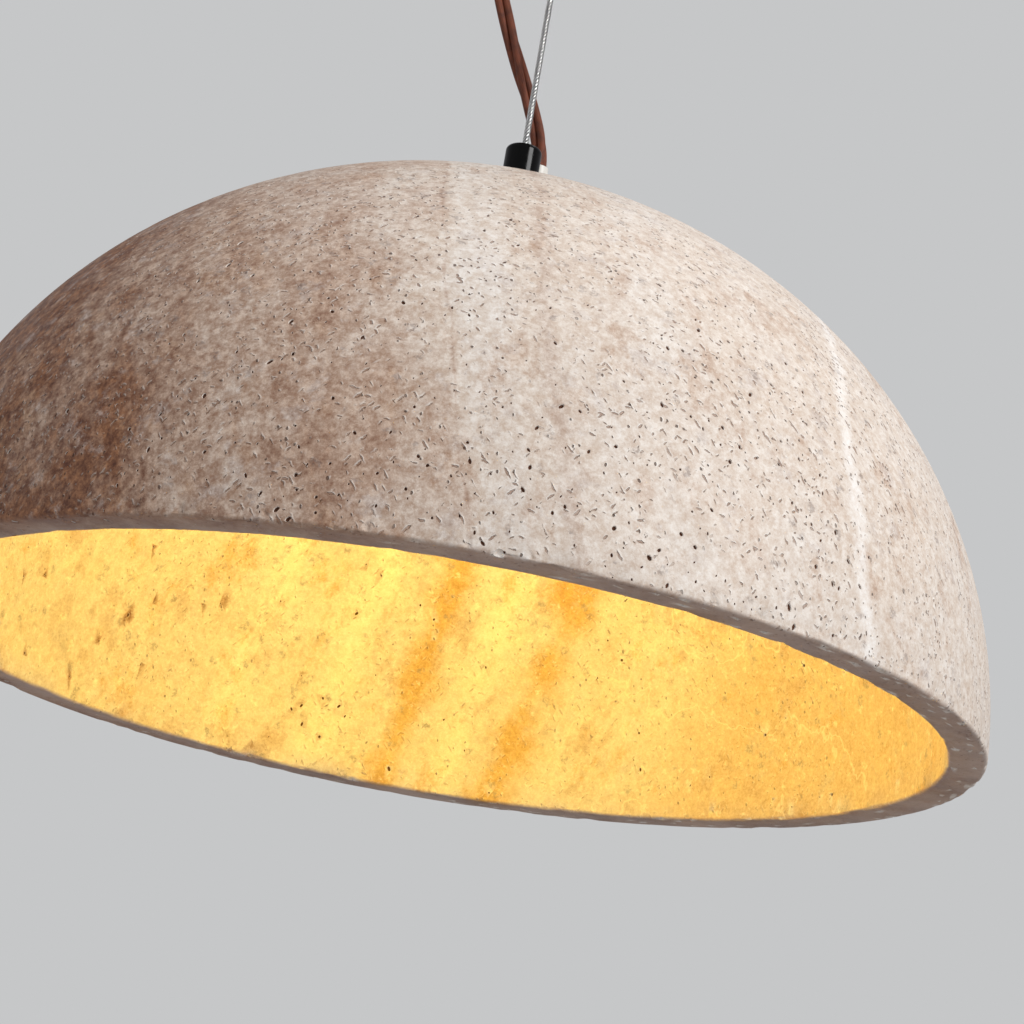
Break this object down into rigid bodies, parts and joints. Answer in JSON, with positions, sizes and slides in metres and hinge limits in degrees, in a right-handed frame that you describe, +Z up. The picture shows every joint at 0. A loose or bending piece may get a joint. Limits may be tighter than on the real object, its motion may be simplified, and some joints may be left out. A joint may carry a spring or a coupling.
{
  "type": "pendant light",
  "caption": "Stone dome pendant light on a wire rope, with a textile cord, a round ceiling cover and a screw-in bulb inside the shade.",
  "frame": {"origin": "on the ceiling plane, in the middle of the ceiling plate, between its two screw slots", "axes": "+Z up, out of the ceiling plate's upper face and along the wire rope; +X to the right of someone in front of the lamp, along the row of screw slots; -Y towards them"},
  "size_m": [0.3999, 0.4, 0.3675],
  "materials": {
    "travertine": "honed, unfilled",
    "black_satin": "satin black lacquer",
    "wire_rope": "bright stranded wire",
    "polished_steel": "polished",
    "zinc_steel": "zinc plated",
    "brown_textile": "braided sleeve",
    "white_nylon": "moulded",
    "black_rubber": "matte",
    "white_ceramic": "glazed",
    "brass": "bright",
    "nickel": "nickel plated",
    "opal_glass": "opal diffuser, lit",
    "bulb_plastic": "moulded",
    "black_glass": "glossy",
    "wire_brown": "wire insulation",
    "wire_blue": "wire insulation",
    "wire_earth": "wire insulation, green and yellow"
  },
  "bodies": {
    "ceiling_fitting": {"ceiling_plate": "zinc_steel", "hanger_nut": "zinc_steel", "gripper_barrel": "polished_steel", "rope_tail": "wire_rope", "ceiling_cover": "black_satin", "ring_nut": "black_satin", "cord_gland": "black_satin", "gland_nut": "zinc_steel", "canopy_cord": "brown_textile", "terminal_block": "white_nylon", "block_screws": "zinc_steel", "terminal_screws": "zinc_steel", "earth_screw": "brass", "canopy_wire_live": "wire_brown", "canopy_wire_earth": "wire_earth", "canopy_wire_neutral": "wire_blue"},
    "release_sleeve": {"release_sleeve": "polished_steel", "grip_balls": "polished_steel", "grip_plunger": "brass", "grip_spring": "zinc_steel"},
    "rope": {"suspension_rope": "wire_rope", "rope_stop": "polished_steel", "textile_cord": "brown_textile"},
    "shade": {"rope_cap": "black_satin", "cap_gasket": "black_rubber", "stone_shade": "travertine", "cord_bush": "white_nylon", "inner_gasket": "black_rubber", "load_plate": "zinc_steel", "holder_bracket": "zinc_steel", "lock_washer": "zinc_steel", "stem_nut": "brass", "cord_grip": "white_nylon", "grip_screw": "zinc_steel", "inner_cord": "brown_textile", "holder_body": "white_ceramic", "screw_shell": "brass", "centre_contact": "brass", "holder_screws": "zinc_steel", "earth_tag_screw": "brass", "lamp_wire_live": "wire_brown", "lamp_wire_neutral": "wire_blue", "lamp_wire_earth": "wire_earth"},
    "bulb_carrier": {"bulb_tip": "nickel"},
    "bulb": {"bulb_insulator": "black_glass", "bulb_cap": "nickel", "bulb_collar": "bulb_plastic", "bulb_globe": "opal_glass"}
  },
  "joints": [
    {"name": "sleeve_push", "type": "slide", "parent": "ceiling_fitting", "child": "release_sleeve", "axis": [0, 0, 1], "range_m": [0, 0.0025], "stiffness_N_per_m": 900, "springref_m": -0.001, "deforming": ["grip_spring"]},
    {"name": "rope_swing", "type": "hinge", "parent": "ceiling_fitting", "child": "rope", "pos_m": [0, 0, -0.05], "axis": [0, 1, 0], "range_deg": [-12, 12], "deforming": ["textile_cord"]},
    {"name": "shade_tilt", "type": "hinge", "parent": "rope", "child": "shade", "pos_m": [0, 0, -0.154], "axis": [1, 0, 0], "range_deg": [-5, 5]},
    {"name": "bulb_travel", "type": "slide", "parent": "shade", "child": "bulb_carrier", "axis": [0, 0, -1], "range_m": [0, 0.0254]},
    {"name": "bulb_turn", "type": "hinge", "parent": "bulb_carrier", "child": "bulb", "pos_m": [0, 0, -0.26875], "axis": [0, 0, -1], "range_deg": [0, 2520]}
  ],
  "couplings": [
    {"joint": "bulb_turn", "follows": "bulb_travel", "rad_per_m": 1731.4}
  ]
}
